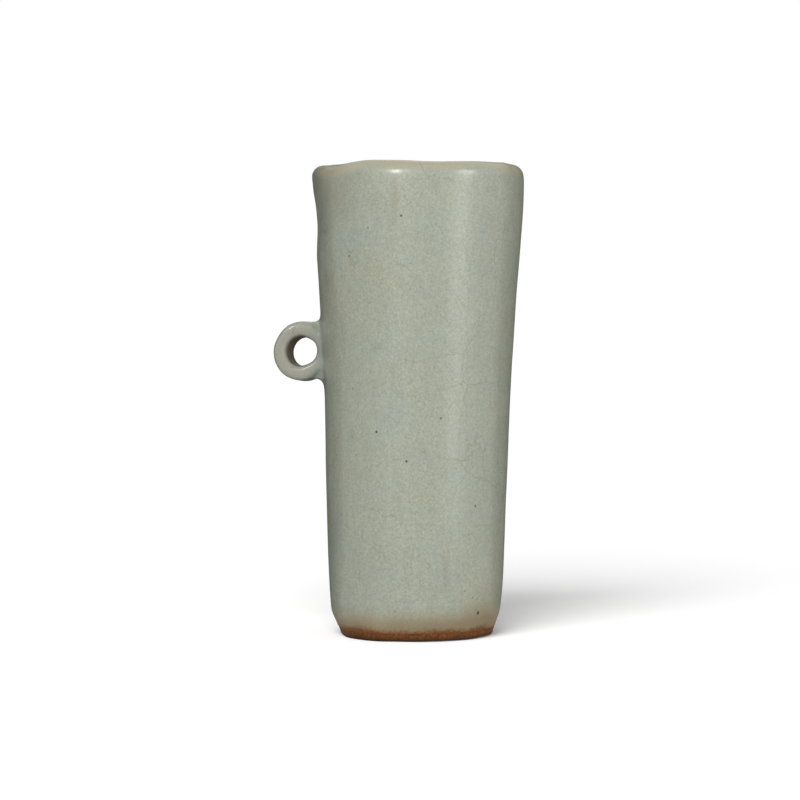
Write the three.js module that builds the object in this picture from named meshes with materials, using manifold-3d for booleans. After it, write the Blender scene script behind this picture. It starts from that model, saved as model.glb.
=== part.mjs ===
// A tubular bird feeder cup in celadon-glazed stoneware: a thrown cup with a ring handle luted to its
// side. Wire or cord through the ring ties the cup upright to the bars of a cage.
// Millimetres, +Z up. The origin is the centre of the flat foot, the front is -Y, and the ring stands
// out towards -X.
//
// The pieces are those that the potter put together and the kiln fused, each in its own mesh:
//   thrown_body        wall, lip and floor, one lump of clay off the wheel, with a bare trimmed foot
//   ring_loop          a strip of clay bent into a ring and pressed on to the wall
//   upper_slip_joint   clay slip worked into the angle above the ring
//   lower_slip_joint   the same below the ring
//   outer_glaze        the dipped coat, from the lip's crest down to the glaze line on the foot bevel
//   inner_glaze        the poured coat, from the lip's crest down the bore and over the floor
//   ring_glaze         the coat on the ring and on both slip joints

import * as THREE from "three";
import { mergeVertices } from "three/addons/utils/BufferGeometryUtils.js";
import Module from "manifold-3d";

const wasm = await Module();
wasm.setup();

// The thrown cup, in bare clay.
const HEIGHT = 89.7; // foot to the lip's crest
const FOOT_RADIUS = 14.4; // the flat face that the cup stands on
const BEVEL_HEIGHT = 4.4; // the trimmed edge round the foot
const BEVEL_RADIUS = 15.5; // outside, where the bevel meets the wall
const LOW_RADIUS = 16.5; // outside, a quarter of the way up the wall
const MIDDLE_RADIUS = 17.1; // outside, halfway up
const HIGH_RADIUS = 18.25; // outside, three quarters of the way up
const LIP_RADIUS = 19.6; // outside, at the lip's widest
const LIP_DROP = 3.3; // crest down to the lip's widest, outside
const LIP_THICKNESS = 3.5; // across the rolled lip
const LIP_INNER_DROP = 3; // crest down to where the lip meets the bore
const WALL = 3; // wall under the lip
const FLOOR = 5; // clay under the bore
const FLOOR_CORNER = 5; // radius between bore and floor

// The glaze.
const OUTER_GLAZE = 0.45; // on the outside of the wall
const LIP_GLAZE = 0.25; // on the crest, where it ran thin
const INNER_GLAZE = 0.4; // in the bore
const POOLED_GLAZE = 0.8; // on the floor
const RING_GLAZE = 0.3; // on the ring and the slip joints
const GLAZE_LINE = 1.6; // height of the outer coat's bottom edge, on the bevel
const GLAZE_LINE_WAVE = 0.45; // how far that edge wanders up and down
const GLAZE_EDGE = 0.9; // height in which the coat thickens from its edge
const EDGE_GLAZE = 0.15; // thickness at that edge

// The ring handle.
const RING_HEIGHT = 53.7; // foot to the ring's centre
const RING_RADIUS = 4.25; // to the middle of the strip
const RING_STRIP = 1.8; // strip's thickness, in the ring's plane
const RING_WIDTH = 3.1; // strip's width, along the ring's axis
const RING_ROUNDING = 0.8; // corners of the strip
const RING_SINK = 1.03; // how far the strip's outside is pressed past the face of the wall
const RING_UNEVENNESS = 0.15; // depth of three soft corners left by the fingers
const RING_TURN = THREE.MathUtils.degToRad(20); // outer edge swung to the back
const RING_TILT = THREE.MathUtils.degToRad(12); // top edge leaning to the back

// The slip that joins it to the wall.
const SLIP_INSET = 0.35; // sides of the strip to the sides of the slip
const UPPER_FILLET = 0.9; // above the ring, on to the wall
const LOWER_FILLET = 1.8; // below it

// What the hands did to the soft pot.
const TRIM_SHIFT = -0.35; // the bevel was cut deeper on the ring's side
const LEAN = 0.48; // mouth's centre from the wall's centre above the bevel, away from the ring
const OVALITY = 0.3; // extra radius to front and back
const RING_SIDE_DIP = 0.85; // crest lower over the ring
const FAR_SIDE_DIP = 0.45; // crest lower on the far side
const RIM_SOFT_DEPTH = 12; // crest down to where the dips end
const DENT = 0.5; // finger groove under the lip, over the ring
const DENT_DROP = 10; // crest down to the groove
const DENT_HEIGHT = 4; // half the groove's height

const FIT_GAP = 0.05; // between pieces that the kiln fused

// Facets.
const SEGMENTS = 48;
const WALL_STEPS = 10;
const LIP_STEPS = 4;
const BORE_STEPS = 7;
const CORNER_STEPS = 3;
const RING_SEGMENTS = 36;
const ROUNDING_STEPS = 2;
const FILLET_STEPS = 4;

const { lerp, smoothstep, clamp } = THREE.MathUtils;
const v2 = (x, y) => new THREE.Vector2(x, y);
const QUARTER_TURN = Math.PI / 2;
const TINY = 1e-6;
const WELD = 1e-4; // corners nearer than this are one corner

// The wall's outside is set at five evenly spaced heights, from the bevel to the lip's widest.
const WALL_RADII = [BEVEL_RADIUS, LOW_RADIUS, MIDDLE_RADIUS, HIGH_RADIUS, LIP_RADIUS];
const LIP_HEIGHT = HEIGHT - LIP_DROP;
const CREST_RADIUS = LIP_RADIUS - LIP_THICKNESS / 2;
const wallHeight = (i) => lerp(BEVEL_HEIGHT, LIP_HEIGHT, i / (WALL_RADII.length - 1));

// Points of a stretch of outline after its first, so that stretches join end to end.
const stretch = (curve, steps) => curve.getSpacedPoints(steps).slice(1);

// A quarter of an ellipse about (x, y), from one angle to the other.
const quarter = (x, y, xRadius, yRadius, from, to) =>
  new THREE.EllipseCurve(x, y, xRadius, yRadius, from, to, to < from);

// Outside of the clay, from the glaze line up to the crest.
function outlineOutside() {
  const onBevel = (height) => v2(lerp(FOOT_RADIUS, BEVEL_RADIUS, height / BEVEL_HEIGHT), height);
  const wall = new THREE.SplineCurve(WALL_RADII.map((radius, i) => v2(radius, wallHeight(i))));
  const lip = quarter(CREST_RADIUS, LIP_HEIGHT, LIP_THICKNESS / 2, LIP_DROP, 0, QUARTER_TURN);
  return [
    onBevel(GLAZE_LINE),
    onBevel(GLAZE_LINE + GLAZE_EDGE),
    onBevel(BEVEL_HEIGHT),
    ...stretch(wall, WALL_STEPS),
    ...stretch(lip, LIP_STEPS),
  ];
}

// Inside of the clay, from the crest down the bore to the centre of the floor.
function outlineInside() {
  const boreTop = HEIGHT - LIP_INNER_DROP;
  const boreBottom = FLOOR + FLOOR_CORNER;
  const cornerRadius = BEVEL_RADIUS - WALL - FLOOR_CORNER;
  const lip = quarter(CREST_RADIUS, boreTop, LIP_THICKNESS / 2, LIP_INNER_DROP, QUARTER_TURN, Math.PI);
  const bore = new THREE.SplineCurve([
    v2(LIP_RADIUS - LIP_THICKNESS, boreTop),
    v2(HIGH_RADIUS - WALL, wallHeight(3)),
    v2(MIDDLE_RADIUS - WALL, wallHeight(2)),
    v2(LOW_RADIUS - WALL, wallHeight(1)),
    v2(BEVEL_RADIUS - WALL, boreBottom),
  ]);
  const corner = quarter(cornerRadius, boreBottom, FLOOR_CORNER, FLOOR_CORNER, 0, -QUARTER_TURN);
  return [
    v2(CREST_RADIUS - FIT_GAP, HEIGHT),
    ...stretch(lip, LIP_STEPS),
    ...stretch(bore, BORE_STEPS),
    ...stretch(corner, CORNER_STEPS),
    v2(0, FLOOR),
  ];
}

// An outline moved off the clay, square to itself. The clay lies to the left of the way it runs.
function moveOff(outline, distance) {
  const last = outline.length - 1;
  return outline.map((point, i) => {
    const run = outline[Math.min(i + 1, last)].clone().sub(outline[Math.max(i - 1, 0)]);
    const level = point.y > HEIGHT - TINY || point.x < TINY;
    const off = level ? v2(0, 1) : v2(run.y, -run.x).normalize();
    return point.clone().addScaledVector(off, distance(point));
  });
}

const closed = (profile) => [...profile, profile[0].clone()];

// A coat of glaze on an outline, as a profile: the open face, then back along the clay.
function coat(outline, thickness) {
  const hidden = moveOff(outline, () => FIT_GAP);
  const open = moveOff(outline, (point) => FIT_GAP + thickness(point));
  return closed([...open, ...hidden.reverse()]);
}

// The outer coat thickens upwards from its edge and runs thin over the lip.
function outerThickness(point) {
  const fromEdge = smoothstep(point.y, GLAZE_LINE, GLAZE_LINE + GLAZE_EDGE);
  const overLip = smoothstep(point.y, LIP_HEIGHT, HEIGHT);
  return lerp(lerp(EDGE_GLAZE, OUTER_GLAZE, fromEdge), LIP_GLAZE, overLip);
}

// The inner coat runs thin over the lip and pools on the floor.
function innerThickness(point) {
  const pooled = 1 - smoothstep(point.y, FLOOR, FLOOR + FLOOR_CORNER);
  const overLip = smoothstep(point.y, HEIGHT - LIP_INNER_DROP, HEIGHT);
  return lerp(lerp(INNER_GLAZE, POOLED_GLAZE, pooled), LIP_GLAZE, overLip);
}

// How far the pot's centre stands from the foot's centre at a height.
const centreAt = (height) =>
  TRIM_SHIFT * clamp(height / BEVEL_HEIGHT, 0, 1) + LEAN * smoothstep(height, BEVEL_HEIGHT, HEIGHT);

// Moves a point of the true thrown pot to where the hands left it. The angle is 0 over the ring.
function shapeByHand(point) {
  const radius = Math.hypot(point.x, point.y);
  const angle = radius > TINY ? Math.atan2(point.y, -point.x) : 0;
  const overRing = 1 - smoothstep(Math.abs(angle), 0.2 * Math.PI, 0.36 * Math.PI);
  const farSide = smoothstep(Math.abs(angle), 0.72 * Math.PI, Math.PI);
  const soft = smoothstep(point.z, HEIGHT - RIM_SOFT_DEPTH, HEIGHT);
  const fromDent = (point.z - (HEIGHT - DENT_DROP)) / DENT_HEIGHT;
  const dent = DENT * Math.exp(-(fromDent ** 2) - 2 * angle ** 2);
  const oval = OVALITY * Math.sin(angle) ** 2;
  const shaped = Math.max(radius + (oval - dent) * smoothstep(radius, 0, FOOT_RADIUS), 0);
  return point.set(
    centreAt(point.z) - shaped * Math.cos(angle),
    shaped * Math.sin(angle),
    point.z - soft * (RING_SIDE_DIP * overRing + FAR_SIDE_DIP * farSide),
  );
}

// The outer coat's edge wanders along the bevel, and is lowest at the front.
function wanderEdge(point) {
  const angle = Math.atan2(point.x, -point.y);
  const wave = 0.8 * Math.cos(angle + 0.2) + 0.2 * Math.cos(3 * angle);
  const nearEdge = 1 - smoothstep(point.z, GLAZE_LINE + GLAZE_EDGE / 2, BEVEL_HEIGHT);
  const rise = -GLAZE_LINE_WAVE * wave * nearEdge;
  const slope = (BEVEL_RADIUS - FOOT_RADIUS) / BEVEL_HEIGHT;
  const growth = 1 + (rise * slope) / Math.hypot(point.x, point.y);
  return point.set(point.x * growth, point.y * growth, point.z + rise);
}

function eachPoint(geometry, change) {
  const position = geometry.getAttribute("position");
  const point = new THREE.Vector3();
  for (let i = 0; i < position.count; i += 1) {
    change(point.fromBufferAttribute(position, i));
    position.setXYZ(i, point.x, point.y, point.z);
  }
  geometry.computeVertexNormals();
  return geometry;
}

// A profile of (radius, height) spun about +Z. One that closes on itself makes a ring.
const spin = (profile, segments) =>
  new THREE.LatheGeometry(profile, segments).rotateX(QUARTER_TURN);

// Geometry as a solid that can be cut, and back again.
function solid(geometry) {
  const bare = new THREE.BufferGeometry();
  const corners = geometry.index ? geometry.toNonIndexed() : geometry;
  bare.setAttribute("position", corners.getAttribute("position"));
  const welded = mergeVertices(bare, WELD);
  return new wasm.Manifold(
    new wasm.Mesh({
      numProp: 3,
      vertProperties: welded.getAttribute("position").array,
      triVerts: new Uint32Array(welded.index.array),
    }),
  );
}

function geometryOf(cut) {
  const mesh = cut.getMesh();
  const shared = new THREE.BufferGeometry();
  shared.setAttribute("position", new THREE.BufferAttribute(mesh.vertProperties, 3));
  shared.setIndex(new THREE.BufferAttribute(mesh.triVerts, 1));
  const geometry = shared.toNonIndexed();
  geometry.computeVertexNormals();
  return geometry;
}

// The clay cup and its two coats. The outer one still has to be opened for the ring.
function thrownBody() {
  const profile = [v2(0, 0), v2(FOOT_RADIUS, 0), ...outlineOutside(), ...outlineInside()];
  return eachPoint(spin(profile, SEGMENTS), shapeByHand);
}

function outerCoat() {
  const profile = coat(outlineOutside(), outerThickness);
  return eachPoint(eachPoint(spin(profile, SEGMENTS), wanderEdge), shapeByHand);
}

function innerCoat() {
  return eachPoint(spin(coat(outlineInside(), innerThickness), SEGMENTS), shapeByHand);
}

// The pot with no bore, grown all over by a distance: what the ring's pieces are trimmed against.
function lump(grown) {
  const outside = moveOff(outlineOutside(), () => grown);
  const profile = [v2(0, 0), v2(FOOT_RADIUS, 0), ...outside, v2(0, HEIGHT + grown)];
  return eachPoint(spin(profile, SEGMENTS), shapeByHand);
}

// Radius of the clay's outside at a height on the wall.
function wallRadiusAt(height) {
  const outline = outlineOutside();
  const above = outline.findIndex((point) => point.y >= height);
  const [low, high] = [outline[above - 1], outline[above]];
  return lerp(low.x, high.x, (height - low.y) / (high.y - low.y));
}

// The ring's own frame: its centre is the origin, +X runs to the wall, +Y up the wall and +Z along the
// ring's axis to the front.
const RING_OUTSIDE = RING_RADIUS + RING_STRIP / 2;
const STANDOFF = RING_OUTSIDE - RING_SINK; // ring's centre to the face of the clay, along +X
const wallBeside = wallRadiusAt(RING_HEIGHT);
const wallFlare = (wallRadiusAt(RING_HEIGHT + RING_OUTSIDE) - wallBeside) / RING_OUTSIDE;

function ringFrame() {
  const frame = new THREE.Group();
  frame.rotation.set(QUARTER_TURN - RING_TILT, 0, -RING_TURN, "ZXY");
  const toWall = new THREE.Vector3(1, 0, 0).applyEuler(frame.rotation);
  const root = shapeByHand(new THREE.Vector3(-wallBeside, 0, RING_HEIGHT));
  frame.position.copy(root).addScaledVector(toWall, -STANDOFF);
  frame.updateMatrix();
  return frame;
}

// Three soft corners, one of them at the top.
function bendByFingers(point) {
  const angle = Math.atan2(point.y, point.x);
  const growth = 1 - (RING_UNEVENNESS * Math.sin(3 * angle)) / RING_RADIUS;
  return point.set(point.x * growth, point.y * growth, point.z);
}

// The bent strip, grown all over by a distance.
function strip(grown) {
  const x = RING_STRIP / 2 - RING_ROUNDING;
  const y = RING_WIDTH / 2 - RING_ROUNDING;
  const rounding = RING_ROUNDING + grown;
  const corner = (xSide, ySide, from) =>
    new THREE.EllipseCurve(
      RING_RADIUS + xSide * x,
      ySide * y,
      rounding,
      rounding,
      from,
      from + QUARTER_TURN,
    ).getPoints(ROUNDING_STEPS);
  const profile = [
    ...corner(1, -1, -QUARTER_TURN),
    ...corner(1, 1, 0),
    ...corner(-1, 1, QUARTER_TURN),
    ...corner(-1, -1, 2 * QUARTER_TURN),
  ];
  return solid(eachPoint(spin(closed(profile), RING_SEGMENTS), bendByFingers));
}

// The wall runs past the ring's frame at a slant, and the slip follows it.
const wallSlant = Math.tan(RING_TURN);
const followWall = (point) => point.setX(point.x + point.z * wallSlant - point.y * wallFlare);

// A web of slip above the ring, grown all over by a distance. It starts deep in the strip, runs level
// from the ring's top, turns up the wall in a fillet and ends inside the wall.
function slipWeb(fillet, grown) {
  const start = (RING_WIDTH / 2 + grown) * wallSlant;
  const inside = RING_RADIUS - RING_STRIP / 4 - grown;
  const top = RING_OUTSIDE + fillet;
  const deep = STANDOFF + WALL;
  const outline = new THREE.Shape();
  outline.moveTo(deep, top);
  outline.lineTo(deep, 0);
  outline.absarc(0, 0, inside, 0, Math.acos(start / inside), false);
  outline.lineTo(start, RING_OUTSIDE + grown);
  outline.absarc(STANDOFF - fillet, top, Math.max(fillet - grown, TINY), -QUARTER_TURN, 0, false);
  const rounding = RING_ROUNDING - SLIP_INSET + grown;
  const flat = RING_WIDTH - 2 * RING_ROUNDING;
  return new THREE.ExtrudeGeometry(outline, {
    depth: flat,
    bevelThickness: rounding,
    bevelSize: rounding,
    bevelOffset: -rounding,
    bevelSegments: ROUNDING_STEPS,
    curveSegments: FILLET_STEPS,
  }).translate(0, 0, -flat / 2);
}

function upperSlip(grown) {
  return solid(eachPoint(eachPoint(slipWeb(UPPER_FILLET, grown), followWall), bendByFingers));
}

function lowerSlip(grown) {
  const below = slipWeb(LOWER_FILLET, grown).rotateX(Math.PI);
  return solid(eachPoint(eachPoint(below, followWall), bendByFingers));
}

const clayHandle = (grown) => strip(grown).add(upperSlip(grown)).add(lowerSlip(grown));

const clay = new THREE.MeshStandardMaterial({ color: 0x9a5f3c, roughness: 0.85, metalness: 0 });
const glaze = new THREE.MeshStandardMaterial({ color: 0xa8ac9b, roughness: 0.25, metalness: 0 });

function piece(name, geometry, material) {
  const mesh = new THREE.Mesh(geometry, material);
  mesh.name = name;
  return mesh;
}

const feeder = new THREE.Group();
const handle = ringFrame();
feeder.add(handle);

const toHandle = handle.matrix.clone().invert();
const clayFace = solid(lump(FIT_GAP).applyMatrix4(toHandle));
const glazeFace = solid(lump(OUTER_GLAZE + 2 * FIT_GAP).applyMatrix4(toHandle));
const pastStrip = strip(FIT_GAP).add(clayFace);
const pastHandle = clayHandle(FIT_GAP);
const ringCoat = clayHandle(FIT_GAP + RING_GLAZE).subtract(pastHandle).subtract(glazeFace);
const openedCoat = solid(outerCoat().applyMatrix4(toHandle)).subtract(pastHandle);

handle.add(
  piece("ring_loop", geometryOf(strip(0).subtract(clayFace)), clay),
  piece("upper_slip_joint", geometryOf(upperSlip(0).subtract(pastStrip)), clay),
  piece("lower_slip_joint", geometryOf(lowerSlip(0).subtract(pastStrip)), clay),
  piece("ring_glaze", geometryOf(ringCoat), glaze),
  piece("outer_glaze", geometryOf(openedCoat), glaze),
);
feeder.add(
  piece("thrown_body", thrownBody(), clay),
  piece("inner_glaze", innerCoat(), glaze),
);

export default feeder;
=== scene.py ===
# %% [markdown]
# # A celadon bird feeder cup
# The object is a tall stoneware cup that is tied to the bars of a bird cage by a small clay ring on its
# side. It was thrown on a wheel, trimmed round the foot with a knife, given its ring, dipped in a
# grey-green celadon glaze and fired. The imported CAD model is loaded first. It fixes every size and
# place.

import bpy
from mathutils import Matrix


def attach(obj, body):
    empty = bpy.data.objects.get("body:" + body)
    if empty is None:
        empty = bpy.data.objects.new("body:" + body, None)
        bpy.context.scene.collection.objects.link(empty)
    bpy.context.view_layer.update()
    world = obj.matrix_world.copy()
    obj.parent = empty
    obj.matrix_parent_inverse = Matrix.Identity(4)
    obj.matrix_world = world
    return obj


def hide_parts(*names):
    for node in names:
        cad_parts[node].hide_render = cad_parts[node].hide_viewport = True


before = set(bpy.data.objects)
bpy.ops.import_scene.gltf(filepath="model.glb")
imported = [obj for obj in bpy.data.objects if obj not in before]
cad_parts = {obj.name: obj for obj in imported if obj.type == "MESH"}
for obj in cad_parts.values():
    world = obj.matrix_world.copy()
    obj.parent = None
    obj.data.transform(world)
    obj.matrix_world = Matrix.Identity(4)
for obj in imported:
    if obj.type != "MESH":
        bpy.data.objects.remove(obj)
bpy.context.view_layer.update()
print("CAD nodes:", sorted(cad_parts))

# %% Tools and units
import math

import bmesh
import bpy
from mathutils import Matrix, Vector

MM = 0.001  # one millimetre, in Blender's metres
TOUCHING = 0.01 * MM  # points closer than this are taken as one place
scene = bpy.context.scene
tools = scene.tool_settings

# %% [markdown]
# ## The camera
# The cup is seen from the front, from three quarters of a metre away and level with its rim, through a
# long lens. The rim is seen edge on, so the bore stays hidden, and the foot shows its round. The camera
# is made first, so that each piece can be looked at as soon as it is there.

# %% Camera
CAMERA_PLACE = Vector((-3.4, -775, 90.5)) * MM
CAMERA_AIM = Vector((-3.4, 0, 44.5)) * MM
SENSOR = 36  # millimetres across, as Blender writes a sensor
LENS = 183.8  # focal length, in millimetres too

bpy.ops.object.camera_add(location=CAMERA_PLACE)
camera = bpy.context.object
camera.name = "camera"
camera.data.sensor_width = SENSOR
camera.data.lens = LENS
camera.rotation_mode = "QUATERNION"
camera.rotation_quaternion = (CAMERA_AIM - CAMERA_PLACE).to_track_quat("-Z", "Y")
scene.camera = camera
scene.view_settings.view_transform = "Standard"
print("camera to cup, in metres:", round((CAMERA_AIM - CAMERA_PLACE).length, 3))

# %% [markdown]
# ## Selecting by place
# By hand, vertices are picked with the mouse. A script picks them by a test on their coordinates. A few
# small helpers are enough: they make a piece the only one that is selected, open and close edit mode,
# select vertices and extrude them.


# %% Selection helpers
def work_on(piece):
    """Makes one piece the only selected object, and the active one."""
    bpy.ops.object.select_all(action="DESELECT")
    piece.select_set(True)
    bpy.context.view_layer.objects.active = piece


def start_editing(piece):
    """Opens a piece in edit mode, in vertex mode, with nothing selected."""
    work_on(piece)
    bpy.ops.object.mode_set(mode="EDIT")
    tools.mesh_select_mode = (True, False, False)
    bpy.ops.mesh.select_all(action="DESELECT")


def stop_editing():
    bpy.ops.object.mode_set(mode="OBJECT")


def select_mesh():
    """In edit mode, selects the whole mesh."""
    bpy.ops.mesh.select_all(action="SELECT")


def extrude(x, y, z):
    """Extrudes what is selected, and moves the new end."""
    bpy.ops.mesh.extrude_region_move(TRANSFORM_OT_translate={"value": (x, y, z)})


def pick(piece, test):
    """In edit mode, selects only the vertices whose place passes a test, and counts them."""
    bpy.ops.mesh.select_all(action="DESELECT")
    mesh = bmesh.from_edit_mesh(piece.data)
    for vertex in mesh.verts:
        vertex.select_set(bool(test(vertex.co)))
    mesh.select_flush_mode()
    bmesh.update_edit_mesh(piece.data)
    return sum(vertex.select for vertex in mesh.verts)


def from_ring(place):
    """Angle round the cup's axis, in degrees: 0 over the ring, 90 or -90 at back and front."""
    return math.degrees(math.atan2(place.y, -place.x))


# %% [markdown]
# ## The shape of the wall
# A potter checks the wall with a gauge at a few heights. Here too, a few marks give the outside of the
# glazed wall: its height, its radius and how far its centre stands from the foot's centre, because the
# cup leans a little. A smooth curve runs through the marks. The lip and the floor's corner are arcs.

# %% Gauge marks
FOOT_RADIUS = 14.35 * MM
BEVEL_TOP = 4.4 * MM
GLAZE_LINE = 1.5 * MM
LIP_WIDEST = 86.2 * MM
CREST = 90.0 * MM
LIP_ROUND = 2.35 * MM  # radius of the lip's outer corner
LIP_INNER_DROP = 3.1 * MM  # crest down to where the lip meets the bore
THROUGH = 3.95 * MM  # glazed outside to glazed inside, under the lip
FLOOR = 5.85 * MM  # top of the glaze on the floor
FLOOR_CORNER = 4.4 * MM  # radius between bore and floor
OVALITY = 0.3 * MM  # extra radius to front and back
FOOT_CENTRE = -0.2 * MM  # the foot was trimmed a little off the axis

GAUGE = [  # height, radius, centre, in millimetres
    (4.4, 16.06, -0.38),
    (9, 16.5, -0.3),
    (15, 16.78, -0.35),
    (24.5, 17.04, -0.29),
    (36, 17.42, -0.21),
    (44.5, 17.66, -0.08),
    (61.5, 18.57, 0.02),
    (73, 19.35, 0.08),
    (81, 19.93, 0.06),
    (86.2, 20.27, -0.08),
]


def smooth_between(marks, height):
    """Values at a height on a smooth curve through the marks, each mark's height coming first."""
    last = len(marks) - 1
    i = max(k for k in range(last) if marks[k][0] <= height or k == 0)
    before, low, high, after = (marks[min(max(k, 0), last)] for k in (i - 1, i, i + 1, i + 2))
    span = high[0] - low[0]
    t = (height - low[0]) / span
    values = []
    for a, b, c, d in zip(before[1:], low[1:], high[1:], after[1:]):
        leaving = (c - a) / (high[0] - before[0]) * span
        arriving = (d - b) / (after[0] - low[0]) * span
        values.append(
            (2 * t**3 - 3 * t**2 + 1) * b
            + (t**3 - 2 * t**2 + t) * leaving
            + (3 * t**2 - 2 * t**3) * c
            + (t**3 - t**2) * arriving
        )
    return values


def wall_radius(height):
    return smooth_between(GAUGE, height / MM)[0] * MM


def centre_at(height):
    """How far the cup's centre stands from the foot's centre, at a height."""
    if height < BEVEL_TOP:
        share = height / BEVEL_TOP
        return FOOT_CENTRE + share * (centre_at(BEVEL_TOP) - FOOT_CENTRE)
    return smooth_between(GAUGE, min(height, LIP_WIDEST) / MM)[1] * MM


def arc(middle, size, start, end, steps):
    """Points (radius, height) on a quarter of an ellipse, after its first one. Angles in degrees."""
    points = []
    for k in range(1, steps + 1):
        angle = math.radians(start + (end - start) * k / steps)
        points.append((middle[0] + size[0] * math.cos(angle), middle[1] + size[1] * math.sin(angle)))
    return points


print("radius halfway up, in mm:", round(wall_radius(CREST / 2) / MM, 2))

# %% [markdown]
# ## Outlines of the glaze and the clay
# The glaze is one coat: it starts at the glaze line on the foot's bevel, runs up the outside, over the
# lip, down the bore and across the floor. The clay under it has the same outline, moved in by the
# coat's thickness, which is least at the edge and over the lip, and most on the floor, where the glaze
# pooled. Both outlines are lists of (radius, height), so that they can be thrown in the same way.

# %% Outline of the open face of the glaze
WALL_GLAZE = 0.45 * MM
BORE_GLAZE = 0.4 * MM
LIP_GLAZE = 0.25 * MM
EDGE_GLAZE = 0.12 * MM
POOLED_GLAZE = 0.8 * MM
POOL_RADIUS = 10 * MM  # inside this radius, the glaze lies pooled on the floor
POLE_RADIUS = 1.5 * MM  # smallest ring, just before a surface closes on the axis
THROWING_RIDGE = 0.09 * MM  # height of the ridges that the fingers left in the bore
BEVEL_RINGS = (0, 0.3, 0.9, 1.8, 2.55)  # rings on the bevel, in millimetres above the glaze line
LOW_RINGS = (4.75, 5.4, 6.8)  # heights of the first rings on the wall, which keep its corner tight
FLOOR_RINGS = (0.6, 0.3)  # rings on the floor, as shares of its flat part's radius
CORNER_STEPS = 5  # rings in each round corner


def glaze_outline(wall_steps, bore_steps):
    """Open face of the glaze, from the glaze line to the middle of the floor."""
    crest_radius = wall_radius(LIP_WIDEST) - LIP_ROUND
    bore_top = CREST - LIP_INNER_DROP
    bore_bottom = FLOOR + FLOOR_CORNER
    lip_round_low = CREST - LIP_ROUND

    def bevel(height):
        share = height / BEVEL_TOP
        return (FOOT_RADIUS + share * (wall_radius(BEVEL_TOP) - FOOT_RADIUS), height)

    points = [bevel(GLAZE_LINE + step * MM) for step in BEVEL_RINGS]
    points += [(wall_radius(height * MM), height * MM) for height in LOW_RINGS]
    start = LOW_RINGS[-1] * MM
    for k in range(1, wall_steps + 1):
        height = start + (lip_round_low - start) * k / wall_steps
        points.append((wall_radius(min(height, LIP_WIDEST)), height))
    points += arc((crest_radius, lip_round_low), (LIP_ROUND, LIP_ROUND), 0, 90, CORNER_STEPS)
    bore_mouth = wall_radius(bore_top) - THROUGH
    inner_round = (crest_radius - bore_mouth, LIP_INNER_DROP)
    points += arc((crest_radius, bore_top), inner_round, 90, 180, CORNER_STEPS)
    for k in range(1, bore_steps + 1):
        height = bore_top + (bore_bottom - bore_top) * k / bore_steps
        ridge = THROWING_RIDGE * (1 if k % 2 else -1)
        points.append((wall_radius(height) - THROUGH + ridge, height))
    corner_radius = points[-1][0] - FLOOR_CORNER
    floor_round = (FLOOR_CORNER, FLOOR_CORNER)
    points += arc((corner_radius, bore_bottom), floor_round, 0, -90, CORNER_STEPS)
    points += [(corner_radius * share, FLOOR) for share in FLOOR_RINGS]
    points.append((POLE_RADIUS, FLOOR))
    return points


def glaze_thickness(point):
    """Thickness of the coat at a point (radius, height) of its open face."""
    radius, height = point
    if radius < POOL_RADIUS:
        return POOLED_GLAZE
    outside = radius > wall_radius(max(height, BEVEL_TOP)) - THROUGH / 2
    wall = WALL_GLAZE if outside else BORE_GLAZE
    if height < BEVEL_TOP:
        share = (height - GLAZE_LINE) / (BEVEL_TOP - GLAZE_LINE)
        return EDGE_GLAZE + share * (wall - EDGE_GLAZE)
    if height > LIP_WIDEST:
        share = (height - LIP_WIDEST) / (CREST - LIP_WIDEST)
        return wall + share * (LIP_GLAZE - wall)
    return wall


def moved_in(outline, extra=0):
    """The outline moved into the pot, square to itself, by the glaze's thickness and a bit extra."""
    moved = []
    for i, (radius, height) in enumerate(outline):
        before, after = outline[max(i - 1, 0)], outline[min(i + 1, len(outline) - 1)]
        run = Vector((after[0] - before[0], after[1] - before[1])).normalized()
        depth = glaze_thickness((radius, height)) + extra
        moved.append((max(radius - run.y * depth, POLE_RADIUS), height + run.x * depth))
    return moved


open_face = glaze_outline(wall_steps=20, bore_steps=22)
print("rings on the open face of the glaze:", len(open_face))

# %% [markdown]
# ## Throwing a pot
# A wheel-thrown form is a circle that is pulled up, out and in again. The same is done here: a circle is
# added, its edge is extruded from ring to ring, and each new ring is scaled to its radius. The spin
# operator could turn the outline in one step, but pulling ring by ring lets the centre wander and the
# rings go slightly oval, as they do on a pot made by hand. The two ends close on the axis.

# %% Throw
SEGMENTS = 56
POLE_REACH = 1.2 * POLE_RADIUS  # holds the smallest ring, which is slightly oval


def ring_depth(radius):
    """Radius of a ring to front and back, where the cup is slightly oval."""
    return radius + OVALITY * min(radius / FOOT_RADIUS, 1)


def throw(name, outline):
    """Pulls a circle through every (radius, height) of an outline and closes both ends."""
    radius, height = outline[0]
    bpy.ops.object.select_all(action="DESELECT")
    bpy.ops.mesh.primitive_circle_add(
        vertices=SEGMENTS, radius=radius, location=(centre_at(height), 0, height)
    )
    piece = bpy.context.object
    piece.name = name
    piece.scale.y = ring_depth(radius) / radius
    work_on(piece)
    bpy.ops.object.transform_apply()
    start_editing(piece)
    pick(piece, lambda place: True)
    for (radius, height), (next_radius, next_height) in zip(outline, outline[1:]):
        extrude(centre_at(next_height) - centre_at(height), 0, next_height - height)
        growth = (next_radius / radius, ring_depth(next_radius) / ring_depth(radius), 1)
        middle = (centre_at(next_height), 0, next_height)
        bpy.ops.transform.resize(value=growth, center_override=middle)
    for _, height in (outline[0], outline[-1]):
        pick(
            piece,
            lambda place: abs(place.z - height) < TOUCHING
            and math.hypot(place.x - centre_at(height), place.y) < POLE_REACH,
        )
        bpy.ops.mesh.merge(type="CENTER")
    select_mesh()
    bpy.ops.mesh.normals_make_consistent(inside=False)
    stop_editing()
    print(name, "has", len(piece.data.vertices), "vertices")
    return piece


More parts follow.
